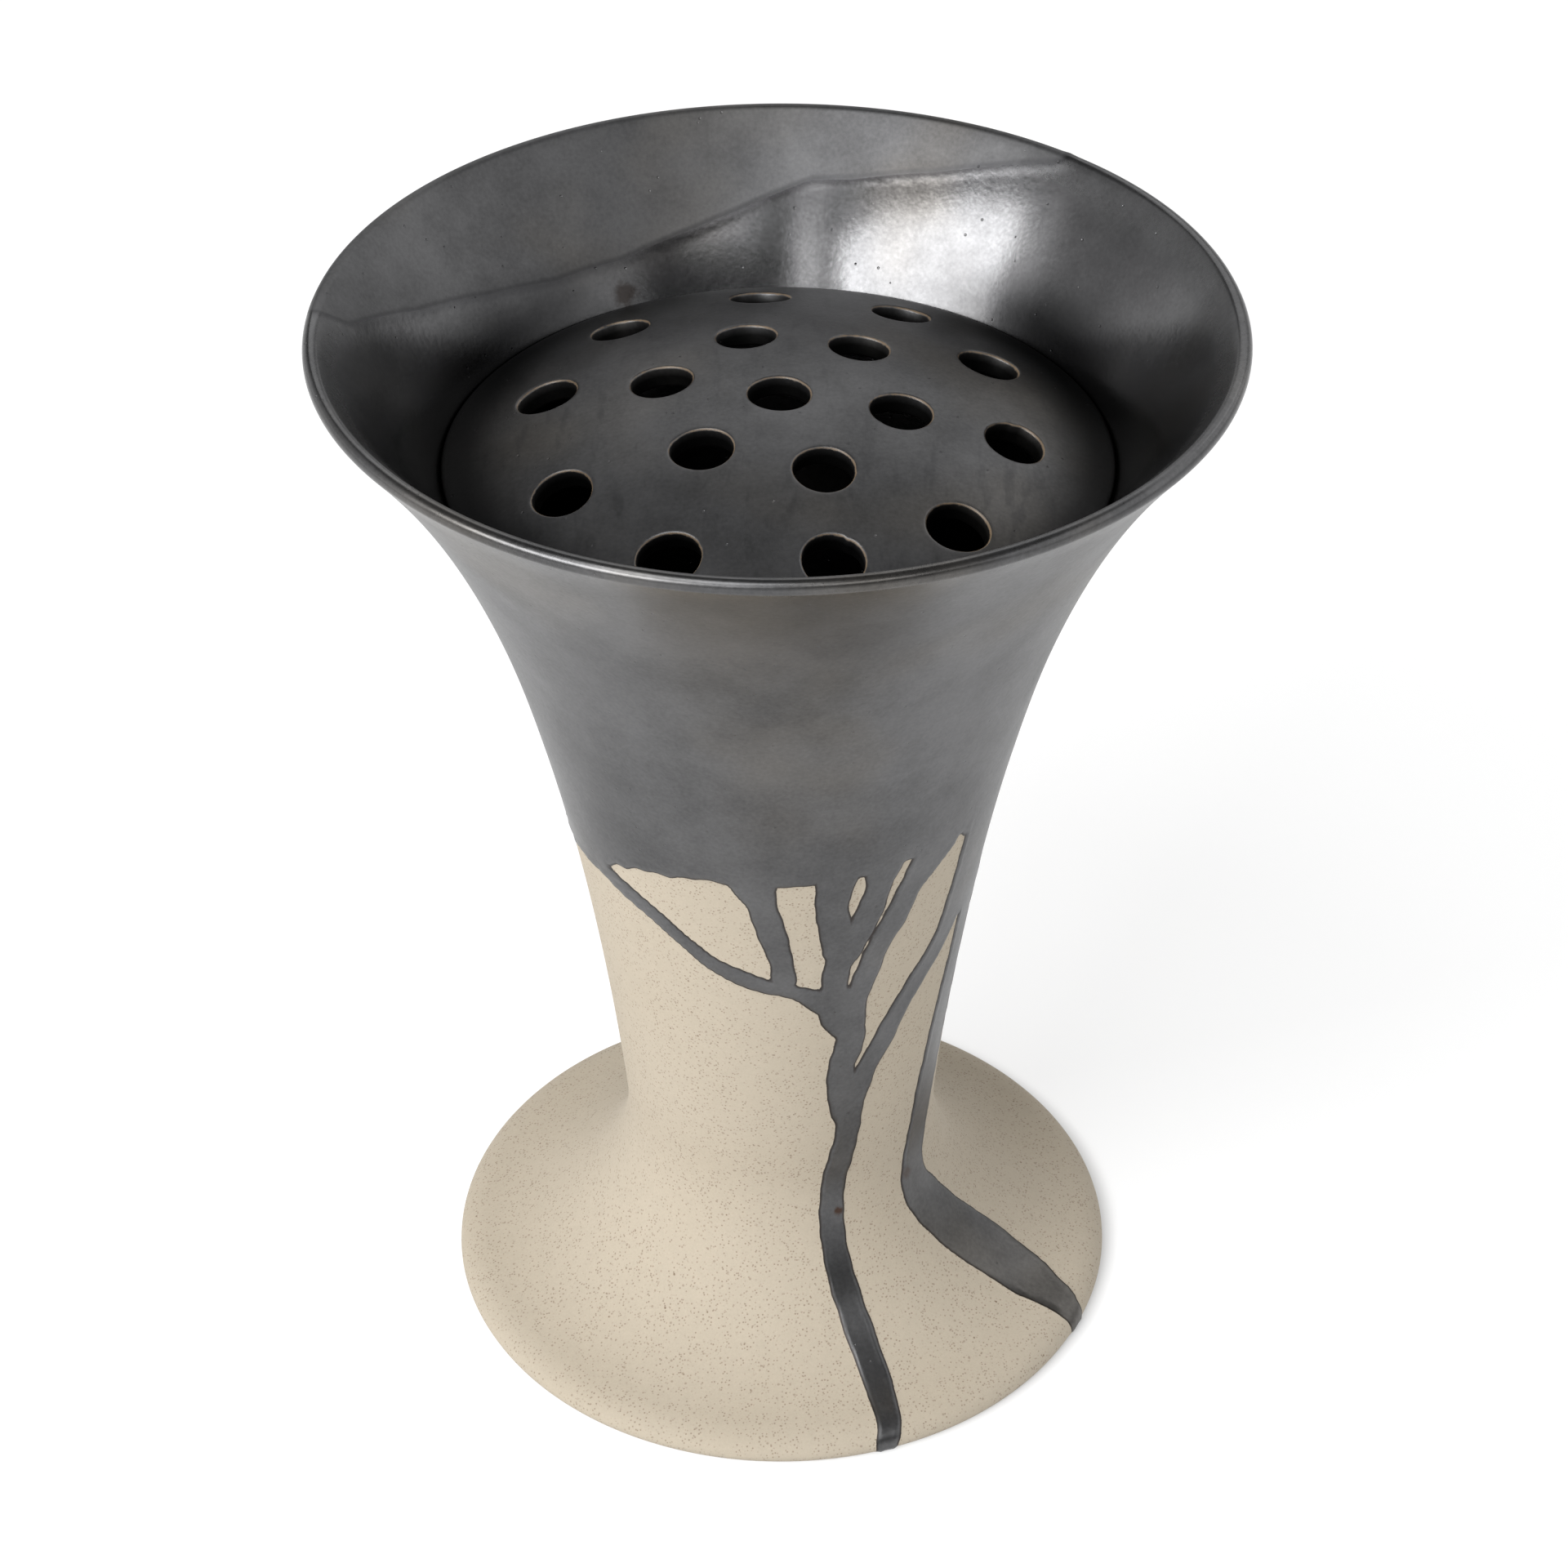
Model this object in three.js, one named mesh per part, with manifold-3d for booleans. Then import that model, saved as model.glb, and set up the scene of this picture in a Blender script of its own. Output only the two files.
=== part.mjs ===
// Flower frog: a stoneware trumpet vase on a wide foot, and the pierced dome that rests in its mouth
// and holds the stems. Millimetres, +Z up. The origin is the centre of the base.

import * as THREE from "three";
import { mergeVertices } from "three/addons/utils/BufferGeometryUtils.js";
import Module from "manifold-3d";

const wasm = await Module();
wasm.setup();

// Overall sizes of the vase.
const height = 315;
const rimRadius = 120;
const footRadius = 96.5;

// The turned line of the stem and trumpet: a slow taper, and a flare that takes over near the lip.
const stemRadius = 41.8;
const taperSpread = 48.7;
const taperPower = 1.7;
const flarePower = 6;

// The wall, and the lip that closes it. The lip leans out from upright by lipLean.
const wall = 6;
const lipRadius = 2.2;
const lipLean = THREE.MathUtils.degToRad(40);
const lipThinning = 45; // height over which the wall thins towards the lip

// The foot sweeps out of the stem on one large arc and rolls over at its edge.
const sweepRadius = 50;
const footThickness = 7;
const edgeRoll = 9;
const edgeChamfer = 1.4;
const restingRing = 12; // width of the flat ring that the vase stands on
const recessDepth = 2;

// The water space.
const floorThickness = 8;
const floorCorner = 10;

// The pierced dome: two concentric spheres with an edge cut to the wall's taper.
const crownDepth = 20.5; // from the top of the lip down to the crown
const domeRadius = 200;
const domeThickness = 6;
const seatGap = 0.35;

// The stem holes, punched by hand square to the dome: one at the crown and two rings.
const holeRadius = 8;
const edgeMargin = 23; // from the dome's upper edge to the outer ring's line
const ringShare = 0.5; // the inner ring's share of the outer ring's radius
// Each hole's angle in degrees, and how far it wanders outwards from its ring's line.
const crownHole = [-80, 2];
const innerHoles = [[165, -1], [105, 0], [50, 1], [-12, 0], [-71, 3], [-128, -1]];
const outerHoles = [
  [94, 3], [60, 2], [27, -2], [-10, -3], [-47, 1], [-78, 0], [-114, 2], [-149, -1], [-192, -3], [-229, 0],
];

const facets = 64;
const punchFacets = 20;

// Heights and radii where the lip meets the wall's outside.
const lipCentre = { r: rimRadius - lipRadius, z: height - lipRadius };
const wallTop = {
  r: lipCentre.r + lipRadius * Math.cos(lipLean),
  z: lipCentre.z - lipRadius * Math.sin(lipLean),
};
const flareSpread = wallTop.r - stemRadius - taperSpread;

function outsideRadius(z) {
  const t = z / wallTop.z;
  return stemRadius + taperSpread * t ** taperPower + flareSpread * t ** flarePower;
}

// Lean of the outside from upright, in radians.
function outsideLean(z) {
  const step = 0.01;
  return Math.atan((outsideRadius(z + step) - outsideRadius(z - step)) / (2 * step));
}

function wallThickness(z) {
  const share = Math.min(Math.max((z - wallTop.z + lipThinning) / lipThinning, 0), 1);
  return wall + (2 * lipRadius - wall) * share;
}

// The point at a depth inside the outside's point at height z, square to the surface.
function insidePoint(z, depth) {
  const lean = outsideLean(z);
  return new THREE.Vector2(outsideRadius(z) - depth * Math.cos(lean), z + depth * Math.sin(lean));
}

function arcPoints(centre, radius, from, to, steps) {
  const points = [];
  for (let i = 0; i <= steps; i++) {
    const angle = from + (to - from) * (i / steps);
    points.push(new THREE.Vector2(centre.x + radius * Math.cos(angle), centre.y + radius * Math.sin(angle)));
  }
  return points;
}

// The height on the stem where the foot's sweep leaves it, found so that the arc's foot lies level
// with the top of the foot's plate.
function sweepStart() {
  let low = footThickness;
  let high = height / 2;
  for (let i = 0; i < 40; i++) {
    const z = (low + high) / 2;
    const bottom = z - sweepRadius * Math.sin(outsideLean(z)) - sweepRadius;
    if (bottom < footThickness) {
      low = z;
    } else {
      high = z;
    }
  }
  return (low + high) / 2;
}

const sweepTop = sweepStart();

// The outline of the foot from the axis on the underside, round the edge and up the sweep.
function footOutline() {
  const lean = outsideLean(sweepTop);
  const centre = new THREE.Vector2(
    outsideRadius(sweepTop) + sweepRadius * Math.cos(lean),
    sweepTop - sweepRadius * Math.sin(lean),
  );
  const rollStart = footRadius - edgeRoll;
  const sweepEnd = Math.PI + Math.acos((centre.x - rollStart) / sweepRadius);
  const sweep = arcPoints(centre, sweepRadius, sweepEnd, Math.PI - lean, 9);
  const rollHeight = sweep[0].y - edgeChamfer;
  const ringInside = footRadius - restingRing;
  const outline = [
    new THREE.Vector2(0, recessDepth),
    new THREE.Vector2(ringInside - recessDepth, recessDepth),
    new THREE.Vector2(ringInside, 0),
    new THREE.Vector2(footRadius - edgeChamfer, 0),
  ];
  const rollSteps = 4;
  for (let i = 0; i < rollSteps; i++) {
    const angle = (Math.PI / 2) * (i / rollSteps);
    outline.push(new THREE.Vector2(
      rollStart + edgeRoll * Math.cos(angle),
      edgeChamfer + rollHeight * Math.sin(angle),
    ));
  }
  return outline.concat(sweep);
}

// The outline of the whole vase: foot, outside, lip, inside and the floor of the water space.
function vaseOutline() {
  const outline = footOutline();
  const outsideSteps = 16;
  for (let i = 1; i <= outsideSteps; i++) {
    const share = 1 - (1 - i / outsideSteps) ** 1.4;
    const z = sweepTop + (wallTop.z - sweepTop) * share;
    outline.push(new THREE.Vector2(outsideRadius(z), z));
  }
  const lip = arcPoints(
    new THREE.Vector2(lipCentre.r, lipCentre.z), lipRadius, -lipLean, Math.PI - lipLean, 5,
  );
  outline.push(...lip.slice(1, -1));
  const floorZ = recessDepth + floorThickness;
  const cornerTop = floorZ + floorCorner;
  const insideSteps = 18;
  for (let i = 0; i <= insideSteps; i++) {
    const share = (i / insideSteps) ** 1.4;
    const z = wallTop.z + (cornerTop - wallTop.z) * share;
    outline.push(insidePoint(z, wallThickness(z)));
  }
  const cornerEdge = outline[outline.length - 1];
  const corner = arcPoints(
    new THREE.Vector2(cornerEdge.x - floorCorner, cornerEdge.y), floorCorner, 0, -Math.PI / 2, 4,
  );
  outline.push(...corner.slice(1), new THREE.Vector2(0, corner[corner.length - 1].y));
  return outline;
}

// A solid of revolution about +Z from an outline that runs from the axis on the underside,
// anticlockwise, back to the axis.
function turned(outline) {
  const geometry = new THREE.LatheGeometry(outline, facets);
  geometry.rotateX(Math.PI / 2);
  geometry.deleteAttribute("normal");
  geometry.deleteAttribute("uv");
  return mergeVertices(geometry, 1e-4);
}

const crownHeight = height - crownDepth;
const domeCentreZ = crownHeight - domeRadius;

// Where a sphere about the dome's centre meets the seat, a line seatGap off the wall's inside.
function seatPoint(sphereRadius) {
  let low = height / 4;
  let high = wallTop.z;
  for (let i = 0; i < 40; i++) {
    const z = (low + high) / 2;
    const point = insidePoint(z, wallThickness(z) + seatGap);
    if (Math.hypot(point.x, point.y - domeCentreZ) < sphereRadius) {
      low = z;
    } else {
      high = z;
    }
  }
  const z = (low + high) / 2;
  return insidePoint(z, wallThickness(z) + seatGap);
}

const upperEdge = seatPoint(domeRadius);
const lowerEdge = seatPoint(domeRadius - domeThickness);

function domeOutline() {
  const centre = new THREE.Vector2(0, domeCentreZ);
  const steps = 6;
  const below = arcPoints(
    centre,
    domeRadius - domeThickness,
    Math.PI / 2,
    Math.atan2(lowerEdge.y - domeCentreZ, lowerEdge.x),
    steps,
  );
  const above = arcPoints(
    centre, domeRadius, Math.atan2(upperEdge.y - domeCentreZ, upperEdge.x), Math.PI / 2, steps,
  );
  below[0].x = 0;
  above[steps].x = 0;
  return below.concat(above);
}

function toManifold(geometry) {
  return new wasm.Manifold(new wasm.Mesh({
    numProp: 3,
    vertProperties: new Float32Array(geometry.attributes.position.array),
    triVerts: new Uint32Array(geometry.index.array),
  }));
}

function fromManifold(solid) {
  const mesh = solid.getMesh();
  const geometry = new THREE.BufferGeometry();
  geometry.setAttribute("position", new THREE.BufferAttribute(mesh.vertProperties, 3));
  geometry.setIndex(new THREE.BufferAttribute(mesh.triVerts, 1));
  return geometry;
}

// A punch through the dome, square to its surface, at an angle and a distance from the axis.
function punch(degrees, distance) {
  const angle = THREE.MathUtils.degToRad(degrees);
  const tilt = Math.asin(distance / domeRadius);
  const normal = new THREE.Vector3(
    Math.sin(tilt) * Math.cos(angle), Math.sin(tilt) * Math.sin(angle), Math.cos(tilt),
  );
  const geometry = new THREE.CylinderGeometry(holeRadius, holeRadius, 3 * domeThickness, punchFacets);
  geometry.applyQuaternion(new THREE.Quaternion().setFromUnitVectors(new THREE.Vector3(0, 1, 0), normal));
  const middle = normal.clone().multiplyScalar(domeRadius - domeThickness / 2);
  geometry.translate(middle.x, middle.y, middle.z + domeCentreZ);
  geometry.deleteAttribute("normal");
  geometry.deleteAttribute("uv");
  return toManifold(mergeVertices(geometry, 1e-4));
}

function piercedDome() {
  const outerRing = upperEdge.x - edgeMargin;
  const rings = [
    { radius: 0, holes: [crownHole] },
    { radius: outerRing * ringShare, holes: innerHoles },
    { radius: outerRing, holes: outerHoles },
  ];
  let dome = toManifold(turned(domeOutline()));
  for (const ring of rings) {
    for (const [degrees, wander] of ring.holes) {
      dome = dome.subtract(punch(degrees, ring.radius + wander));
    }
  }
  return fromManifold(dome);
}

const glazedStoneware = { color: 0x4a4b4c, roughness: 0.42, metalness: 0 };
const bareStoneware = { color: 0xc8b898, roughness: 0.85, metalness: 0 };

function part(name, geometry, finish) {
  const mesh = new THREE.Mesh(geometry, new THREE.MeshStandardMaterial(finish));
  mesh.name = name;
  return mesh;
}

const flowerFrog = new THREE.Group();
flowerFrog.add(part("trumpet_vase", turned(vaseOutline()), bareStoneware));
flowerFrog.add(part("frog_dome", piercedDome(), glazedStoneware));

export default flowerFrog;
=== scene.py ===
"""Flower frog: a stoneware trumpet vase with poured glaze, and the pierced dome in its mouth.

Lengths are in millimetres here and become metres as a mesh is made. Bearings are degrees round the
axis from the front, growing to the right.
"""

import math

import bmesh
import bpy
import numpy as np
from mathutils import Euler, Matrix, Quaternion, Vector
from mathutils.geometry import delaunay_2d_cdt


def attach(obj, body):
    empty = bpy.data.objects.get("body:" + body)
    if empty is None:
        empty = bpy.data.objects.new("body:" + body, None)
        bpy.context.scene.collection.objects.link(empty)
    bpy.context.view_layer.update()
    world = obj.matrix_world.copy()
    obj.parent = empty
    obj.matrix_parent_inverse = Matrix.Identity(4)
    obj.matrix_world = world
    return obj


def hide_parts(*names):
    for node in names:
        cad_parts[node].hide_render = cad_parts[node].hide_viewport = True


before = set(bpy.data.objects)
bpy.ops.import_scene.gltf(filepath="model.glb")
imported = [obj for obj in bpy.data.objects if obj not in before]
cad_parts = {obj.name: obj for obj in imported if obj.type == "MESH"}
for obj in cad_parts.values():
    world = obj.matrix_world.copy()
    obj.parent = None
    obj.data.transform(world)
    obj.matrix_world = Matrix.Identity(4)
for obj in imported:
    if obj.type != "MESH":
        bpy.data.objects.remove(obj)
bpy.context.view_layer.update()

MM = 0.001

# The turned line of the vase, as in the CAD.
HEIGHT = 315
RIM_RADIUS = 120
FOOT_RADIUS = 96.5
STEM_RADIUS = 41.8
TAPER_SPREAD = 48.7
TAPER_POWER = 1.7
FLARE_POWER = 6
WALL = 6
LIP_RADIUS = 2.2
LIP_LEAN = math.radians(40)
LIP_THINNING = 45
SWEEP_RADIUS = 50
FOOT_THICKNESS = 7
EDGE_ROLL = 9
EDGE_CHAMFER = 1.4
EDGE_FULLNESS = 0.62
RESTING_RING = 12
RECESS_DEPTH = 2
FLOOR_THICKNESS = 8
FLOOR_CORNER = 10

# How finely the turned line is cut. Its rows are closest where the runs of glaze are.
ROLL_STEPS = 13
SWEEP_STEPS = 52
LIP_STEPS = 12
CORNER_STEPS = 6
ROW_SPACING = 1.45
RUNS_TOP = 190
ROWS_ABOVE = 30
SEAT_BOTTOM = 262

# The dome and its stem holes, as in the CAD.
CROWN_HEIGHT = HEIGHT - 20.5
DOME_RADIUS = 200
DOME_THICKNESS = 6
UNDER_SPHERE = DOME_RADIUS - DOME_THICKNESS
DOME_CENTRE = CROWN_HEIGHT - DOME_RADIUS
SEAT_GAP = 0.35
HOLE_RADIUS = 8
EDGE_MARGIN = 23
RING_SHARE = 0.5
CROWN_HOLE = (-80, 2)
INNER_HOLES = ((165, -1), (105, 0), (50, 1), (-12, 0), (-71, 3), (-128, -1))
OUTER_HOLES = (
    (94, 3), (60, 2), (27, -2), (-10, -3), (-47, 1), (-78, 0), (-114, 2), (-149, -1), (-192, -3), (-229, 0),
)
HOLE_LIP = 0.8  # radius of the glazed edge round a hole
COLLAR_RADIUS = HOLE_RADIUS + HOLE_LIP + 0.8
HOLE_STEPS = 48
DOME_STEPS = 240
BURRS = {10: 90, 12: 62}  # holes with a nick in the edge, and the way it faces

# Where the poured glaze ends on the outside: bearing and height.
DIP_EDGE = (
    (-180, 170), (-150, 176), (-125, 168), (-100, 172), (-84, 165), (-72, 162), (-60, 163), (-54, 165),
    (-50, 169), (-46, 172.5), (-40, 175), (-33, 177), (-26, 179), (-16, 180.5), (0, 180.5), (9, 181),
    (21, 181.5), (31, 182), (47, 182), (51, 180.5), (54, 176), (56, 160), (58, 146), (61, 141.5), (68, 141),
    (76, 144), (86, 151), (98, 164), (120, 175), (150, 168), (180, 170),
)

# The runs of glaze: bearing, height and half the width at points down each one.
RUNS = {
    "long slant": ((-57, 167, 3.0), (-50, 165.5, 3.3), (-45, 164, 3.5), (-38, 161, 3.3), (-30, 155.8, 2.9),
                   (-24, 150.8, 2.7), (-19, 147, 2.8), (-12, 143.3, 3.2), (-5, 140.6, 3.0), (3, 138.2, 2.8),
                   (9, 135, 3.6), (14, 131.5, 4.5)),
    "short left": ((-7, 182, 6.8), (-5, 174, 4.4), (-3.6, 168, 4.2), (-1.5, 158, 3.8), (0.2, 150, 3.4),
                   (1, 142, 3.4)),
    "middle": ((14, 183, 6.2), (13.2, 174, 4.8), (13.4, 168, 4.6), (14.6, 162, 4.9), (15.8, 158, 5.2),
               (17.2, 154, 6.0), (17.4, 150, 4.9), (15.9, 146, 4.1), (15.6, 141, 4.1), (15.4, 137, 3.8),
               (14.6, 133, 3.6)),
    "middle branch": ((26.3, 183, 6.0), (25.1, 174, 4.2), (23.6, 166, 4.5), (21.5, 158, 4.2),
                      (18.5, 150, 3.6)),
    "right branch": ((42, 182, 8.4), (37.4, 174, 5.9), (34.4, 168, 4.8), (32.7, 162, 4.6), (31, 157.5, 4.7),
                     (27.6, 150, 4.1), (26, 144, 4.0), (24.5, 138, 3.9), (23.2, 133, 3.7), (21.5, 128, 4.6)),
    "right slant": ((60, 180, 7.0), (60, 166, 7.3), (59.3, 156, 7.0), (57.5, 147, 6.4), (54.5, 141, 5.4),
                    (51.2, 136, 4.9), (46.2, 130.3, 4.6), (41.5, 124, 4.3), (37.6, 118, 4.1), (33, 108, 4.2),
                    (29.2, 102, 3.9), (24.5, 89, 4.2)),
    "trunk": ((16, 134, 5.0), (18.1, 130, 6.8), (19, 126, 6.6), (20.3, 122, 5.7), (22.1, 118, 4.5),
              (21.6, 112, 4.7), (19.7, 104, 4.0), (20.2, 97, 4.6), (22.6, 88, 5.0), (23.7, 82, 4.2),
              (23.6, 76, 4.0), (21, 64, 3.9), (19.5, 58, 3.9), (18.1, 46, 3.7), (18.1, 34, 4.0),
              (19.4, 22, 4.2), (20, 16, 4.6), (20.2, 10, 4.2), (19.2, 6.5, 3.6), (18, 3.5, 3.2),
              (17.8, 0.4, 3.1)),
    "side run": ((71.5, 146, 8.0), (70.5, 134, 7.2), (70, 122, 7.0), (68.6, 110, 7.3), (67.5, 100, 7.2),
                 (64.5, 80, 7.0), (62.4, 64, 6.6), (60.6, 57, 6.1), (57.9, 51.5, 5.7), (56, 46, 6.0),
                 (56.6, 40, 6.6), (59.4, 34, 7.7), (62.3, 28, 8.5), (65, 22, 9.2), (67.2, 16, 9.6),
                 (66.8, 10.5, 9.0), (65.5, 8, 6.6), (64, 6, 4.8), (63.7, 4, 4.2), (63.5, 1.5, 3.8)),
    "back left": ((-122, 176, 7.0), (-121, 158, 4.2), (-123, 138, 3.4), (-122, 120, 3.8)),
    "back": ((168, 176, 6.5), (166, 156, 4.0), (169, 130, 3.2), (171, 104, 3.4), (170, 84, 4.0)),
    "back right": ((128, 180, 6.0), (130, 160, 3.6), (129, 144, 3.8)),
}

# How far the glaze stands off the clay: over all, along its edge, and along the second dip's edge. It dies
# away up the trumpet, between the two heights.
COAT = 0.34
COAT_RIM = 0.16
SECOND_COAT = 0.22
COAT_FADE = (RUNS_TOP, 230)
BEAD = (88, 288)  # a bead of glaze on the outside: bearing and height
BEAD_RISE = 1.1
LIP_BAND = 300  # above this height everything is glazed
DEEP = 20.0  # a reach this far inside the glaze's edge, or outside it, is as good as any more

# Marks in the glaze, as bearing and height: two of rust outside and a smudge inside the mouth.
RUST_SPOT = (20.5, 47.0)
FAINT_RUST = (52.0, 48.0)
SMUDGE = (-152, 277)

# The edge of the second dip, inside the mouth: bearing and height. It leaves over the lip at both ends.
SECOND_DIP = (
    (0, 340), (120, 340), (139, 313), (150, 307), (156, 304), (162, 302), (168, 300), (175, 299),
    (180, 296), (187, 292), (194, 289), (207, 285), (220, 285), (233, 289), (248, 296), (264, 307),
    (280, 340), (360, 340),
)


def linear(red, green, blue):
    """A colour as seen, 0 to 255, in the linear values that the shader takes."""
    return (*(((c / 255 + 0.055) / 1.055) ** 2.4 for c in (red, green, blue)), 1)


class Wire:
    """One output of a node. Python's operators on it add Math nodes."""

    def __init__(self, bench, socket):
        self.bench = bench
        self.socket = socket

    def maths(self, operation, *values):
        return self.bench.node("ShaderNodeMath", {"operation": operation}, dict(enumerate(values)))

    def __add__(self, other):
        return self.maths("ADD", self, other)

    __radd__ = __add__

    def __sub__(self, other):
        return self.maths("SUBTRACT", self, other)

    def __rsub__(self, other):
        return self.maths("SUBTRACT", other, self)

    def __mul__(self, other):
        return self.maths("MULTIPLY", self, other)

    __rmul__ = __mul__


class Bench:
    """A node tree, and the one method that adds any node to it."""

    def __init__(self, tree):
        self.tree = tree

    def node(self, kind, settings=None, inlets=None, outlet=0):
        made = self.tree.nodes.new(kind)
        for name, value in (settings or {}).items():
            setattr(made, name, value)
        for name, value in (inlets or {}).items():
            if isinstance(value, Wire):
                self.tree.links.new(value.socket, made.inputs[name])
            else:
                made.inputs[name].default_value = value
        return Wire(self, made.outputs[outlet]) if made.outputs else made

    def step(self, value, start, end):
        """0 up to start, 1 from end on, with a smooth rise between them."""
        return self.node(
            "ShaderNodeMapRange", {"interpolation_type": "SMOOTHSTEP"},
            {"Value": value, "From Min": start, "From Max": end},
        )

    def tint(self, share, first, second, how="MIX"):
        return self.node(
            "ShaderNodeMix", {"data_type": "RGBA", "blend_type": how}, {0: share, 6: first, 7: second}, 2,
        )

    def grey(self, shade):
        return self.node("ShaderNodeCombineColor", {}, {0: shade, 1: shade, 2: shade})

    def clouds(self, place, size, detail=3.0, roughness=0.5, seed=0.0):
        """Soft noise with features about size millimetres across, 0 to 1."""
        return self.node(
            "ShaderNodeTexNoise", {"noise_dimensions": "4D"},
            {"Vector": place, "W": seed, "Scale": 1000 / size, "Detail": detail, "Roughness": roughness},
        )

    def specks(self, place, spacing, radius, seed=0.0):
        """1 in the middle of scattered dots and 0 outside them. Sizes in millimetres."""
        moved = self.node("ShaderNodeVectorMath", {"operation": "ADD"}, {0: place, 1: (seed, seed, seed)})
        reach = self.node("ShaderNodeTexVoronoi", {}, {"Vector": moved, "Scale": 1000 / spacing})
        return 1 - self.step(reach, 0.4 * radius / spacing, radius / spacing)


# The turned line.

def smooth(share):
    share = np.clip(share, 0, 1)
    return share * share * (3 - 2 * share)


LIP_CENTRE = (RIM_RADIUS - LIP_RADIUS, HEIGHT - LIP_RADIUS)
WALL_TOP = (
    LIP_CENTRE[0] + LIP_RADIUS * math.cos(LIP_LEAN), LIP_CENTRE[1] - LIP_RADIUS * math.sin(LIP_LEAN),
)
FLARE_SPREAD = WALL_TOP[0] - STEM_RADIUS - TAPER_SPREAD


def trumpet_radius(z):
    share = z / WALL_TOP[1]
    return STEM_RADIUS + TAPER_SPREAD * share ** TAPER_POWER + FLARE_SPREAD * share ** FLARE_POWER


def lean_at(z):
    return math.atan((trumpet_radius(z + 0.01) - trumpet_radius(z - 0.01)) / 0.02)


def inside_point(z, extra=0.0):
    """The wall's inside (or a line extra off it) opposite height z on the outside: radius and height."""
    thin = min(max((z - WALL_TOP[1] + LIP_THINNING) / LIP_THINNING, 0), 1)
    depth = WALL + (2 * LIP_RADIUS - WALL) * thin + extra
    return trumpet_radius(z) - depth * math.cos(lean_at(z)), z + depth * math.sin(lean_at(z))


def halving(low, high, is_low):
    for _ in range(50):
        middle = (low + high) / 2
        low, high = (middle, high) if is_low(middle) else (low, middle)
    return (low + high) / 2


def arc(centre, radius, start, end, steps):
    turn = np.linspace(start, end, steps + 1)
    return [(centre[0] + radius * math.cos(t), centre[1] + radius * math.sin(t)) for t in turn]


def foot_line():
    """From the edge of the foot up the sweep to the stem."""
    top = halving(
        FOOT_THICKNESS, HEIGHT / 2,
        lambda z: z - SWEEP_RADIUS * math.sin(lean_at(z)) - SWEEP_RADIUS < FOOT_THICKNESS,
    )
    lean = lean_at(top)
    centre = (trumpet_radius(top) + SWEEP_RADIUS * math.cos(lean), top - SWEEP_RADIUS * math.sin(lean))
    roll_start = FOOT_RADIUS - EDGE_ROLL
    sweep_end = math.pi + math.acos((centre[0] - roll_start) / SWEEP_RADIUS)
    sweep = arc(centre, SWEEP_RADIUS, sweep_end, math.pi - lean, SWEEP_STEPS)
    start = np.array(sweep[0])
    slope = (roll_start - centre[0]) / (centre[1] - start[1])
    leaving = start + EDGE_ROLL / 2 * np.array((1, slope))
    edge = np.array((FOOT_RADIUS, EDGE_CHAMFER))
    arriving = edge + (0, EDGE_FULLNESS * (start[1] - EDGE_CHAMFER))

    def on_roll(t):
        """A cubic curve that leaves the sweep along its slope and comes straight down to the edge."""
        back = 1 - t
        return back ** 3 * start + 3 * back ** 2 * t * leaving + 3 * back * t ** 2 * arriving + t ** 3 * edge

    roll = [tuple(on_roll(t)) for t in np.linspace(1, 0, ROLL_STEPS + 1)[:-1]]
    return roll + sweep, top


def vase_line():
    """The whole outline, and the foot's and outside's share of it as radius by height."""
    foot, top = foot_line()
    ring_inside = FOOT_RADIUS - RESTING_RING
    recess = [(radius, RECESS_DEPTH) for radius in (0, 30, 60, ring_inside - RECESS_DEPTH)]
    ring = [(ring_inside - 0.3, 0.2), (ring_inside, 0), (FOOT_RADIUS - EDGE_CHAMFER, 0)]
    eased_edge = (FOOT_RADIUS - EDGE_CHAMFER * 0.3, EDGE_CHAMFER * 0.3)
    rows = np.concatenate((
        np.arange(top + 1.4, RUNS_TOP, ROW_SPACING), np.linspace(RUNS_TOP, WALL_TOP[1], ROWS_ABOVE),
    ))
    outside = [(trumpet_radius(z), z) for z in rows]
    lip = arc(LIP_CENTRE, LIP_RADIUS, -LIP_LEAN, math.pi - LIP_LEAN, LIP_STEPS)[1:-1]
    floor = RECESS_DEPTH + FLOOR_THICKNESS
    corner_top = floor + FLOOR_CORNER
    inner_rows = np.concatenate((
        np.linspace(WALL_TOP[1], SEAT_BOTTOM, 34), np.linspace(SEAT_BOTTOM, corner_top, 16)[1:],
    ))
    inside = [inside_point(z) for z in inner_rows]
    edge = inside[-1]
    corner = arc((edge[0] - FLOOR_CORNER, edge[1]), FLOOR_CORNER, 0, -math.pi / 2, CORNER_STEPS)[1:]
    base = [(corner[-1][0] * share, corner[-1][1]) for share in (0.5, 0)]
    skin = foot + outside
    return recess + ring + [eased_edge] + skin + lip + inside + corner + base, skin


VASE_LINE, SKIN_LINE = vase_line()
SKIN_RADII = np.array([r for r, _ in SKIN_LINE])
SKIN_HEIGHTS = np.array([z for _, z in SKIN_LINE])


def bearing_of(places):
    return np.degrees(np.arctan2(places[:, 0], -places[:, 1]))


def on_skin(bearing, height):
    """The point on the vase's outside at a bearing and a height."""
    radius = np.interp(height, SKIN_HEIGHTS, SKIN_RADII)
    turn = np.radians(bearing)
    return np.stack((radius * np.sin(turn), -radius * np.cos(turn), height + 0 * turn), axis=-1)


def in_mouth(bearing, height):
    """The point on the inside of the trumpet at a bearing and a height, within a millimetre."""
    rows = [inside_point(z) for z in np.arange(HEIGHT // 2, WALL_TOP[1])]
    radius = np.interp(height, [z for _, z in rows], [r for r, _ in rows])
    turn = math.radians(bearing)
    return (radius * math.sin(turn), -radius * math.cos(turn), height)


# Meshes from lines and node trees.

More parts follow.
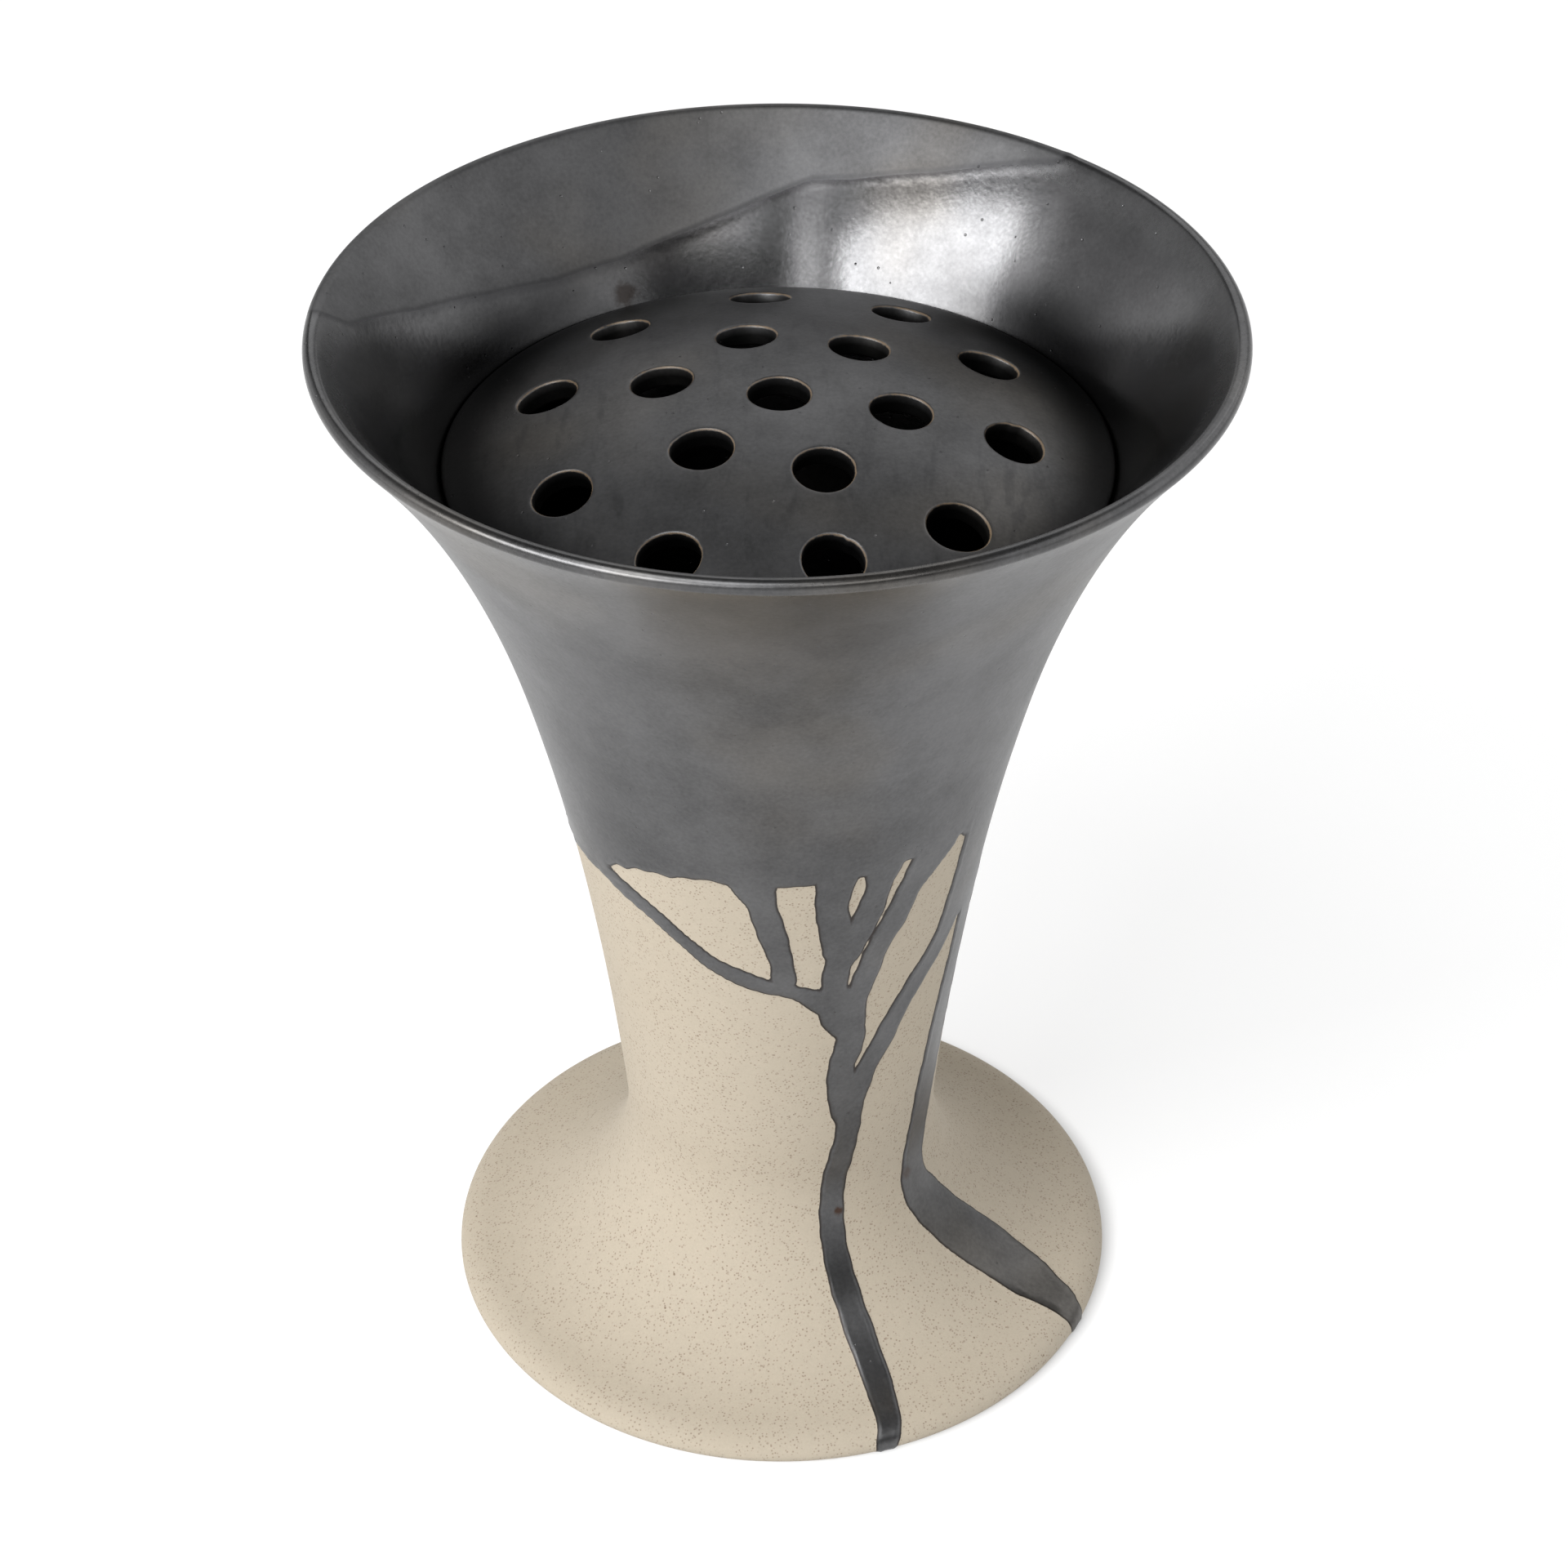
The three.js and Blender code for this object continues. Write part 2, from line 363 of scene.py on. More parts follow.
def line_mesh(name, line):
    """A line of radius and height as a mesh, standing at the back, where its turn about the axis starts."""
    mesh = bpy.data.meshes.new(name)
    mesh.from_pydata([(0, r * MM, z * MM) for r, z in line], [(i, i + 1) for i in range(len(line) - 1)], [])
    piece = bpy.data.objects.new(name, mesh)
    bpy.context.scene.collection.objects.link(piece)
    return piece


def new_tree(name, sockets):
    """A Geometry Nodes tree with named inputs. Returns its bench, its input node and its output node."""
    tree = bpy.data.node_groups.new(name, "GeometryNodeTree")
    tree.interface.new_socket("Geometry", in_out="OUTPUT", socket_type="NodeSocketGeometry")
    for label, kind in (("Geometry", "NodeSocketGeometry"), *sockets):
        tree.interface.new_socket(label, in_out="INPUT", socket_type=kind)
    given = tree.nodes.new("NodeGroupInput")
    result = tree.nodes.new("NodeGroupOutput")
    bench = Bench(tree)
    return bench, {s.name: Wire(bench, s) for s in given.outputs if s.name}, result


def close_off(bench, result, geometry, material):
    """Ends a tree in Realize Instances and Set Material."""
    whole = bench.node("GeometryNodeRealizeInstances", {}, {"Geometry": geometry})
    shaded = bench.node("GeometryNodeSetShadeSmooth", {}, {"Geometry": whole})
    finished = bench.node("GeometryNodeSetMaterial", {}, {"Geometry": shaded, "Material": material})
    bench.tree.links.new(finished.socket, result.inputs[0])


def turned_form_tree():
    """Turns a line about the axis. Gather draws the steps of the turn together at the front."""
    bench, given, result = new_tree("turned form", (
        ("Around", "NodeSocketInt"), ("Gather", "NodeSocketFloat"), ("Weld", "NodeSocketFloat"),
        ("Material", "NodeSocketMaterial"),
    ))
    line = given["Geometry"]
    count = bench.node("GeometryNodeAttributeDomainSize", {}, {"Geometry": line})
    cloth = bench.node(
        "GeometryNodeMeshGrid", {},
        {"Size X": 1.0, "Size Y": 1.0, "Vertices X": count, "Vertices Y": given["Around"] + 1},
    )
    place = bench.node("GeometryNodeInputPosition")
    row_share = bench.node("ShaderNodeSeparateXYZ", {}, {0: place}, 0) + 0.5
    turn_share = bench.node("ShaderNodeSeparateXYZ", {}, {0: place}, 1) + 0.5
    row = row_share * (count - 1)
    row = row.maths("ROUND", row)
    on_line = bench.node(
        "GeometryNodeSampleIndex", {"data_type": "FLOAT_VECTOR"},
        {"Geometry": line, "Value": place, "Index": row},
    )
    full = turn_share * math.tau
    angle = full + given["Gather"] * full.maths("SINE", full)
    turned = bench.node(
        "ShaderNodeVectorRotate", {"rotation_type": "Z_AXIS"}, {"Vector": on_line, "Angle": angle},
    )
    form = bench.node("GeometryNodeSetPosition", {}, {"Geometry": cloth, "Position": turned})
    welded = bench.node("GeometryNodeMergeByDistance", {}, {"Geometry": form, "Distance": given["Weld"]})
    close_off(bench, result, welded, given["Material"])
    return bench.tree


def pierced_tree():
    """Sets a collar at every hole's point, turned by its Lean, and welds them into the sheets."""
    bench, given, result = new_tree("pierced dome", (
        ("Collar", "NodeSocketObject"), ("Sheets", "NodeSocketObject"), ("Weld", "NodeSocketFloat"),
        ("Material", "NodeSocketMaterial"),
    ))
    lean = bench.node("GeometryNodeInputNamedAttribute", {"data_type": "FLOAT_VECTOR"}, {"Name": "lean"})
    turn = bench.node("FunctionNodeEulerToRotation", {}, {0: lean})
    collar = bench.node("GeometryNodeObjectInfo", {}, {"Object": given["Collar"]}, "Geometry")
    sheets = bench.node("GeometryNodeObjectInfo", {}, {"Object": given["Sheets"]}, "Geometry")
    collars = bench.node(
        "GeometryNodeInstanceOnPoints", {},
        {"Points": given["Geometry"], "Instance": collar, "Rotation": turn},
    )
    whole = bench.node("GeometryNodeRealizeInstances", {}, {"Geometry": collars})
    joined = bench.node("GeometryNodeJoinGeometry")
    for part in (sheets, whole):
        bench.tree.links.new(part.socket, joined.socket.node.inputs[0])
    welded = bench.node("GeometryNodeMergeByDistance", {}, {"Geometry": joined, "Distance": given["Weld"]})
    close_off(bench, result, welded, given["Material"])
    return bench.tree


def formed(start, tree, name, **sizes):
    """Runs a tree on an object and returns the result as a plain mesh object, with start removed."""
    modifier = start.modifiers.new("form", "NODES")
    modifier.node_group = tree
    for item in tree.interface.items_tree:
        if item.in_out == "INPUT" and item.name in sizes:
            modifier[item.identifier] = sizes[item.name]
    start.update_tag()
    graph = bpy.context.evaluated_depsgraph_get()
    mesh = bpy.data.meshes.new_from_object(start.evaluated_get(graph))
    mesh.name = name
    mesh.materials.clear()
    mesh.materials.append(sizes["Material"])
    mesh.polygons.foreach_set("material_index", [0] * len(mesh.polygons))
    start.modifiers.remove(modifier)
    bpy.data.objects.remove(start)
    face_outwards(mesh)
    piece = bpy.data.objects.new(name, mesh)
    bpy.context.scene.collection.objects.link(piece)
    return piece


def face_outwards(mesh):
    shell = bmesh.new()
    shell.from_mesh(mesh)
    bmesh.ops.recalc_face_normals(shell, faces=shell.faces)
    if shell.calc_volume(signed=True) < 0:
        bmesh.ops.reverse_faces(shell, faces=shell.faces)
    shell.to_mesh(mesh)
    shell.free()
    mesh.update()


def points_of(mesh):
    flat = np.zeros(len(mesh.vertices) * 3)
    mesh.vertices.foreach_get("co", flat)
    return flat.reshape(-1, 3) / MM


def set_points(mesh, points):
    mesh.vertices.foreach_set("co", (points * MM).astype(np.float32).ravel())
    mesh.update()


def outward(mesh):
    flat = np.zeros(len(mesh.vertices) * 3)
    mesh.vertices.foreach_get("normal", flat)
    return flat.reshape(-1, 3)


def write_attribute(mesh, name, values):
    mesh.attributes.new(name, "FLOAT", "POINT").data.foreach_set("value", values.astype(np.float32))


# The poured glaze.

def eased(points, step):
    """A smooth line through a run's points, about step millimetres apart."""
    marks = np.array(points, float)
    places = on_skin(marks[:, 0], marks[:, 1])
    ends = np.vstack((2 * marks[0] - marks[1], marks, 2 * marks[-1] - marks[-2]))
    line = []
    for i in range(len(marks) - 1):
        before, start, end, after = ends[i:i + 4]
        pieces = max(int(np.linalg.norm(places[i + 1] - places[i]) / step), 1)
        for t in np.arange(pieces) / pieces:
            line.append(0.5 * (
                2 * start + (end - before) * t + (2 * before - 5 * start + 4 * end - after) * t ** 2
                + (3 * start - before - 3 * end + after) * t ** 3
            ))
    line.append(marks[-1])
    return np.array(line)


def reach_of_run(points, places):
    """How far each place lies inside a run's edge, in millimetres. Negative outside it."""
    line = eased(points, 2.0)
    centres = on_skin(line[:, 0], line[:, 1])
    best = np.full(len(places), -60.0)
    low, high = centres.min(axis=0) - 24, centres.max(axis=0) + 24
    near = np.flatnonzero(((places > low) & (places < high)).all(axis=1))
    here = places[near]
    found = np.full(len(here), -60.0)
    for i in range(len(centres) - 1):
        along = centres[i + 1] - centres[i]
        share = np.clip((here - centres[i]) @ along / max(along @ along, 1e-9), 0, 1)
        gap = np.linalg.norm(here - centres[i] - share[:, None] * along, axis=1)
        half = line[i, 2] + (line[i + 1, 2] - line[i, 2]) * share
        found = np.maximum(found, half - gap)
    best[near] = found
    return best


def pooled(first, second, width):
    """The union of two reaches, with a meniscus about width wide where their edges meet."""
    share = np.clip(0.5 + 0.5 * (first - second) / width, 0, 1)
    return second + (first - second) * share + width * share * (1 - share)


def glaze_reach(places):
    """How far each point of the outside lies inside the glaze's edge, in millimetres."""
    bearing = bearing_of(places)
    dip = np.array(DIP_EDGE, float)
    edge = np.interp(bearing, dip[:, 0], dip[:, 1])
    ripple = 0.4 * np.sin(np.radians(bearing) * 23) + 0.3 * np.sin(np.radians(bearing) * 51 + 1.3)
    slope = np.gradient(np.interp(np.arange(-180, 181), dip[:, 0], dip[:, 1]))
    steep = np.abs(np.interp(bearing, np.arange(-180, 181), slope))
    reach = (places[:, 2] - edge + ripple) / np.sqrt(1 + steep ** 2)
    for number, points in enumerate(RUNS.values()):
        slow = np.sin(places[:, 2] * 0.31 + number * 2.1)
        quick = np.sin(places[:, 2] * 0.83 + number)
        reach = pooled(reach, reach_of_run(points, places) + 0.12 * slow + 0.12 * quick, 0.5)
    return reach


# The two pieces.

def at_the_sides(places):
    """1 to the left and right of the axis and 0 in front of it and behind."""
    radius = np.maximum(np.hypot(places[:, 0], places[:, 1]), 1)
    return smooth((np.abs(places[:, 0]) / radius - 0.35) / 0.5)


TURNED_FORM = turned_form_tree()
PIERCED = pierced_tree()
WELD = 0.00001


def vase_reach(places, outside):
    """The glaze's reach over the whole vase: the inside is all glazed and the underside is bare."""
    reach = np.full(len(places), DEEP)
    reach[outside] = glaze_reach(places[outside])
    reach[(places[:, 2] < RECESS_DEPTH + 0.1) & ~outside] = -DEEP
    reach[places[:, 2] > LIP_BAND] = DEEP
    return reach


def above_second_dip(places, outside):
    """Each point's height above the second dip's edge. The outside is under it up to the lip's band."""
    second = np.array(SECOND_DIP, float)
    over = places[:, 2] - np.interp(bearing_of(places) % 360, second[:, 0], second[:, 1])
    return np.where(outside & (places[:, 2] < LIP_BAND), -2 * DEEP, np.clip(over, -2 * DEEP, 2 * DEEP))


def coat_depth(places, reach, over, outside):
    """How far the glaze stands off the clay at each point."""
    depth = COAT * smooth(reach) + COAT_RIM * np.exp(-((reach - 1.1) / 0.7) ** 2)
    depth *= (1 - smooth((places[:, 2] - COAT_FADE[0]) / (COAT_FADE[1] - COAT_FADE[0]))) * outside
    depth += BEAD_RISE * np.exp(-(np.linalg.norm(places - on_skin(*BEAD), axis=1) / 3.4) ** 2) * outside
    return depth + SECOND_COAT * np.exp(-(over / 0.9) ** 2) * ~outside * (places[:, 2] > SEAT_BOTTOM)


def make_vase(material):
    """The fired vase, with its glaze raised and the attributes that its finish reads."""
    vase = formed(
        line_mesh("vase line", VASE_LINE), TURNED_FORM, "trumpet_vase_fired",
        Around=384, Gather=0.42, Weld=WELD, Material=material,
    )
    places = points_of(vase.data)
    radius = np.hypot(places[:, 0], places[:, 1])
    skin = np.interp(places[:, 2], SKIN_HEIGHTS, SKIN_RADII)
    outside = (radius > skin - 0.6) & (places[:, 2] > 0.3)
    reach = vase_reach(places, outside)
    over = above_second_dip(places, outside)

    # Hand turning leaves the lip a little uneven.
    turn = np.radians(bearing_of(places))
    unevenness = 0.10 * np.sin(3 * turn + 0.6) + 0.07 * np.sin(5 * turn + 2.2)
    spread = 1 + unevenness * smooth((places[:, 2] - 298) / 14) / np.maximum(radius, 1)
    places += outward(vase.data) * coat_depth(places, reach, over, outside)[:, None]
    places[:, :2] *= spread[:, None]
    set_points(vase.data, places)

    # The inside is glossier than the outside, and the lip lies between them. Shade is painted into the glaze
    # at the sides of the mouth, where it narrows to the seat.
    lip = smooth((places[:, 2] - 305) / 6)
    painted_seat_shade = smooth((294 - places[:, 2]) / 16) * at_the_sides(places) * ~outside
    write_attribute(vase.data, "glaze_reach", np.clip(reach, -DEEP, DEEP))
    write_attribute(vase.data, "second_dip", over)
    write_attribute(vase.data, "mouth_gloss", np.where(outside, 0.5 * lip, 1 - 0.5 * lip))
    write_attribute(vase.data, "painted_seat_shade", painted_seat_shade)
    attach(vase, "vase")
    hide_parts("trumpet_vase")
    return vase


def seat_point(radius):
    """Where a sphere about the dome's centre meets the seat."""
    def is_short(z):
        r, height = inside_point(z, SEAT_GAP)
        return math.hypot(r, height - DOME_CENTRE) < radius
    return inside_point(halving(HEIGHT / 4, WALL_TOP[1], is_short), SEAT_GAP)


def hole_list(edge_radius):
    """Every stem hole as its angle and its distance from the axis."""
    ring = edge_radius - EDGE_MARGIN
    rings = ((0, (CROWN_HOLE,)), (ring * RING_SHARE, INNER_HOLES), (ring, OUTER_HOLES))
    return [(angle, radius + wander) for radius, holes in rings for angle, wander in holes]


def dome_sheet(sphere, edge_radius, holes, collar_tilt):
    """Points and triangles of one face of the dome, with a round opening for each collar."""
    spacing = 2.0
    steps = np.linspace(0, math.tau, HOLE_STEPS, endpoint=False)
    flat, links = [], []

    def add_ring(ring):
        first = len(flat)
        flat.extend(ring)
        links.extend((first + i, first + (i + 1) % len(ring)) for i in range(len(ring)))

    around = np.linspace(0, math.tau, DOME_STEPS, endpoint=False)
    add_ring([(edge_radius * math.cos(t), edge_radius * math.sin(t)) for t in around])
    normals = []
    for angle, distance in holes:
        turn = Euler((0, math.asin(distance / DOME_RADIUS), math.radians(angle)), "XYZ").to_matrix()
        normals.append(turn @ Vector((0, 0, 1)))
        low = sphere * math.sin(collar_tilt)
        rise = sphere * math.cos(collar_tilt)
        ring = [turn @ Vector((-low * math.sin(t), low * math.cos(t), rise)) for t in steps]
        add_ring([(p.x, p.y) for p in ring])
    for row in range(int(-edge_radius / spacing), int(edge_radius / spacing) + 1):
        for column in range(int(-edge_radius / spacing), int(edge_radius / spacing) + 1):
            x, y = (column + 0.5 * (row % 2)) * spacing, row * spacing * 0.9
            if math.hypot(x, y) > edge_radius - 1.3:
                continue
            up = Vector((x, y, math.sqrt(sphere ** 2 - x * x - y * y))) / sphere
            if all(up.angle(n) * sphere > collar_tilt * sphere + 1.1 for n in normals):
                flat.append((x, y))
    found = delaunay_2d_cdt([Vector(p) for p in flat], links, [], 0, 1e-6)
    corners = [(v.x, v.y, math.sqrt(sphere ** 2 - v.x ** 2 - v.y ** 2)) for v in found[0]]
    faces = []
    for face in found[2]:
        middle = sum((Vector(corners[i]) for i in face), Vector()).normalized()
        if all(middle.angle(n) > collar_tilt * 0.996 for n in normals):
            faces.append(tuple(face))
    return [(x, y, z + DOME_CENTRE) for x, y, z in corners], faces


def dome_collar(material):
    """One hole's collar: from its outer circle on top, over the rounded edge, down the hole and out below."""
    tilt_top = COLLAR_RADIUS / DOME_RADIUS
    tilt_under = COLLAR_RADIUS / UNDER_SPHERE
    lip_height = math.sqrt(DOME_RADIUS ** 2 - (HOLE_RADIUS + HOLE_LIP) ** 2) - HOLE_LIP
    under_height = math.sqrt(UNDER_SPHERE ** 2 - (HOLE_RADIUS + HOLE_LIP) ** 2)
    edge = [
        (HOLE_RADIUS + HOLE_LIP * (1 - math.cos(t)), lip_height + HOLE_LIP * math.sin(t))
        for t in np.linspace(math.pi / 2, 0, 9)
    ]
    under_edge = [(r, under_height + edge[0][1] - z) for r, z in reversed(edge)]
    collar_line = [
        (DOME_RADIUS * math.sin(tilt_top), DOME_RADIUS * math.cos(tilt_top)), *edge,
        (HOLE_RADIUS, DOME_RADIUS - DOME_THICKNESS / 2), *under_edge,
        (UNDER_SPHERE * math.sin(tilt_under), UNDER_SPHERE * math.cos(tilt_under)),
    ]
    return formed(
        line_mesh("collar line", collar_line), TURNED_FORM, "hole_collar",
        Around=HOLE_STEPS, Gather=0.0, Weld=WELD, Material=material,
    )


def edge_band(upper, lower, top_r, under_r):
    """The line of the dome's edge, from its top face down the seat to its underside, with eased corners."""
    upper_r, upper_z = upper
    lower_r, lower_z = lower
    seat = [
        (upper_r + (lower_r - upper_r) * share - ease, upper_z + (lower_z - upper_z) * share)
        for share, ease in ((0.03, 0.14), (0.09, 0.02), (0.3, 0), (0.6, 0), (0.91, 0.02), (0.97, 0.14))
    ]
    top_z = DOME_CENTRE + math.sqrt(DOME_RADIUS ** 2 - top_r ** 2)
    under_z = DOME_CENTRE + math.sqrt(UNDER_SPHERE ** 2 - under_r ** 2)
    return [
        (top_r, top_z), (upper_r - 0.6, upper_z + 0.18), *seat, (lower_r - 0.55, lower_z + 0.02),
        (under_r, under_z),
    ]


def dome_sheets(holes, upper, lower):
    """The dome's two faces, open at every hole, and the edge between them."""
    top_r = upper[0] - 1.2
    under_r = lower[0] - 1.0
    top, top_faces = dome_sheet(DOME_RADIUS, top_r, holes, COLLAR_RADIUS / DOME_RADIUS)
    under, under_faces = dome_sheet(UNDER_SPHERE, under_r, holes, COLLAR_RADIUS / UNDER_SPHERE)
    band = edge_band(upper, lower, top_r, under_r)
    around = np.linspace(0, math.tau, DOME_STEPS, endpoint=False)
    points = top + under
    faces = top_faces + [tuple(i + len(top) for i in face) for face in under_faces]
    first = len(points)
    points += [(r * math.cos(t), r * math.sin(t), z) for r, z in band for t in around]
    for row in range(len(band) - 1):
        near, far = first + row * DOME_STEPS, first + (row + 1) * DOME_STEPS
        for i in range(DOME_STEPS):
            after = (i + 1) % DOME_STEPS
            faces.append((near + i, near + after, far + after, far + i))
    mesh = bpy.data.meshes.new("dome sheets")
    mesh.from_pydata([(x * MM, y * MM, z * MM) for x, y, z in points], [], faces)
    sheets = bpy.data.objects.new("dome sheets", mesh)
    bpy.context.scene.collection.objects.link(sheets)
    return sheets


def hole_marks(leans):
    """A point at the dome's centre for every hole, with the lean that turns its collar into place."""
    mesh = bpy.data.meshes.new("hole marks")
    mesh.from_pydata([(0, 0, DOME_CENTRE * MM)] * len(leans), [], [])
    mesh.attributes.new("lean", "FLOAT_VECTOR", "POINT").data.foreach_set("vector", np.ravel(leans))
    marks = bpy.data.objects.new("hole marks", mesh)
    bpy.context.scene.collection.objects.link(marks)
    return marks


def make_dome(material):
    """The pierced dome: its two sheets and the edge between them, with a collar welded in at every hole."""
    upper = seat_point(DOME_RADIUS)
    lower = seat_point(UNDER_SPHERE)
    holes = hole_list(upper[0])
    leans = [(0.0, math.asin(distance / DOME_RADIUS), math.radians(angle)) for angle, distance in holes]
    collar = dome_collar(material)
    sheets = dome_sheets(holes, upper, lower)
    dome = formed(
        hole_marks(leans), PIERCED, "frog_dome_glazed",
        Collar=collar, Sheets=sheets, Weld=WELD * 3, Material=material,
    )
    bpy.data.objects.remove(collar)
    bpy.data.objects.remove(sheets)
    finish_holes(dome.data, leans)
    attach(dome, "dome")
    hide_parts("frog_dome")
    return dome


def finish_holes(mesh, leans):
    """Hand punching leaves each hole a little out of round, with burrs. Marks where the glaze breaks, the
    holes' walls, and painted shade towards the dome's edge.
    """
    places = points_of(mesh)
    centred = places - (0, 0, DOME_CENTRE)
    moved = np.zeros_like(places)
    thin = np.zeros(len(places))
    inside_hole = np.zeros(len(places))
    for number, lean in enumerate(leans):
        turn = np.array(Euler(lean, "XYZ").to_matrix())
        local = centred @ turn
        away = np.hypot(local[:, 0], local[:, 1])
        near = (away < 16) & (local[:, 2] > 0)
        angle = np.arctan2(local[:, 1], local[:, 0])
        bumps = 0.16 * np.sin(2 * angle + number * 1.7) + 0.10 * np.sin(3 * angle + number * 2.9)
        facing = math.radians(BURRS.get(number, 40 + 137 * number)) - lean[2]
        burr = np.mod(angle - facing + math.pi, math.tau) - math.pi
        bumps -= (0.55 if number in BURRS else 0.14) * np.exp(-(burr / 0.08) ** 2)
        fade = 1 - smooth((away - HOLE_RADIUS) / 5)
        shift = bumps * fade / np.maximum(away, 1)
        outwards = np.stack((local[:, 0] * shift, local[:, 1] * shift, np.zeros(len(away))), axis=1)
        moved[near] += (outwards @ turn.T)[near]
        rise = local[:, 2] - (DOME_RADIUS - HOLE_LIP)
        edge = np.exp(-((away - HOLE_RADIUS - 0.22) / 0.26) ** 2) * smooth((rise + 0.9) / 0.9)
        far_side = 0.5 + 0.5 * np.cos(angle + lean[2] - math.radians(-30))
        thin[near] = np.maximum(thin[near], (edge * (0.72 + 0.28 * far_side))[near])
        # The holes' walls, where shade is painted.
        wall = (away < HOLE_RADIUS + 0.15) & (local[:, 2] < DOME_RADIUS - 1.0) & near
        inside_hole[wall] = 1
    set_points(mesh, places + moved)
    write_attribute(mesh, "glaze_break", thin)
    write_attribute(mesh, "inside_hole", inside_hole)
    radius = np.hypot(places[:, 0], places[:, 1])
    # Painted shade: the dome's glaze darkens towards its edge, most at the sides, where the seat's shade
    # falls.
    write_attribute(mesh, "painted_seat_shade", smooth((radius - 66) / 18) * (0.35 + 0.65 * at_the_sides(places)))


# Finishes.

GRAPHITE = linear(93, 93, 94)
WARM_GRAPHITE = linear(97, 94, 90)
GLAZE_DARK = linear(58, 58, 60)
GLAZE_EDGE = linear(46, 38, 33)
GLAZE_BREAK = linear(106, 85, 57)
# Painted shade: near-black that darkens the glaze where shade falls at the seat.
GLAZE_PAINTED_SHADE = linear(15, 15, 16)
# Painted shade: near-black for the deep walls of the holes.
HOLE_PAINTED_SHADE = linear(26, 25, 24)
RUST = linear(66, 44, 30)
CLAY = linear(178, 168, 152)
CLAY_WARM = linear(173, 162, 144)
SPECK = linear(104, 82, 62)
GLAZE_METAL = 0.98  # the glaze is full of iron and manganese, so it shines almost like metal


def new_finish(name):
    material = bpy.data.materials.new(name)
    material.use_nodes = True
    bench = Bench(material.node_tree)
    shader = material.node_tree.nodes["Principled BSDF"]
    place = bench.node("ShaderNodeTexCoord", {}, {}, "Object")
    return material, bench, shader, place


def spot(bench, place, centre, radius):
    """1 at a point of the piece and 0 beyond a ragged radius. In millimetres."""
    gap = bench.node(
        "ShaderNodeVectorMath", {"operation": "DISTANCE"}, {0: place, 1: tuple(c * MM for c in centre)}, 1,
    )
    ragged = gap * (1 / MM) + (bench.clouds(place, 1.8, 2, 0.6, 6.2) - 0.5) * radius
    return 1 - bench.step(ragged, 0.35 * radius, radius)


def attribute(bench, name):
    return bench.node("ShaderNodeAttribute", {"attribute_name": name}, {}, "Fac")


def glaze_colour(bench, place):
    """Satin graphite: soft clouds, warm patches and a fine mottle."""
    cloud = bench.step(bench.clouds(place, 30, 5, 0.62), 0.30, 0.70)
    patch = bench.step(bench.clouds(place, 60, 2, 0.5, 3.7), 0.50, 0.72)
    mottle = bench.clouds(place, 1.1, 2, 0.6, 1.3)
    colour = bench.tint(patch * 0.8, GRAPHITE, WARM_GRAPHITE)
    shade = cloud * 0.42 + mottle * 0.50 + 0.55
    return bench.tint(1.0, colour, bench.grey(shade), "MULTIPLY")


def glaze_roughness(bench, place):
    """Satin, with duller clouds and a fine grain."""
    return bench.clouds(place, 26, 4, 0.6, 5.1) * 0.14 + bench.clouds(place, 0.9, 2, 0.5, 2.2) * 0.10 + 0.25


def glaze_height(bench, place):
    """The surface of the glaze in millimetres: slow ripples, orange peel and pin-prick pits."""
    ripples = bench.clouds(place, 18, 2, 0.4, 6.6)
    peel = bench.clouds(place, 1.6, 2, 0.5, 4.4)
    pits = bench.specks(place, 5.5, 0.42, 8.0)
    return ripples * 0.10 + peel * 0.022 - pits * 0.12


def bumped(bench, height):
    return bench.node(
        "ShaderNodeBump", {}, {"Strength": 1.0, "Distance": MM, "Height": height},
    )


def connect(bench, shader, **wires):
    for name, wire in wires.items():
        bench.tree.links.new(wire.socket, shader.inputs[name.replace("_", " ")])


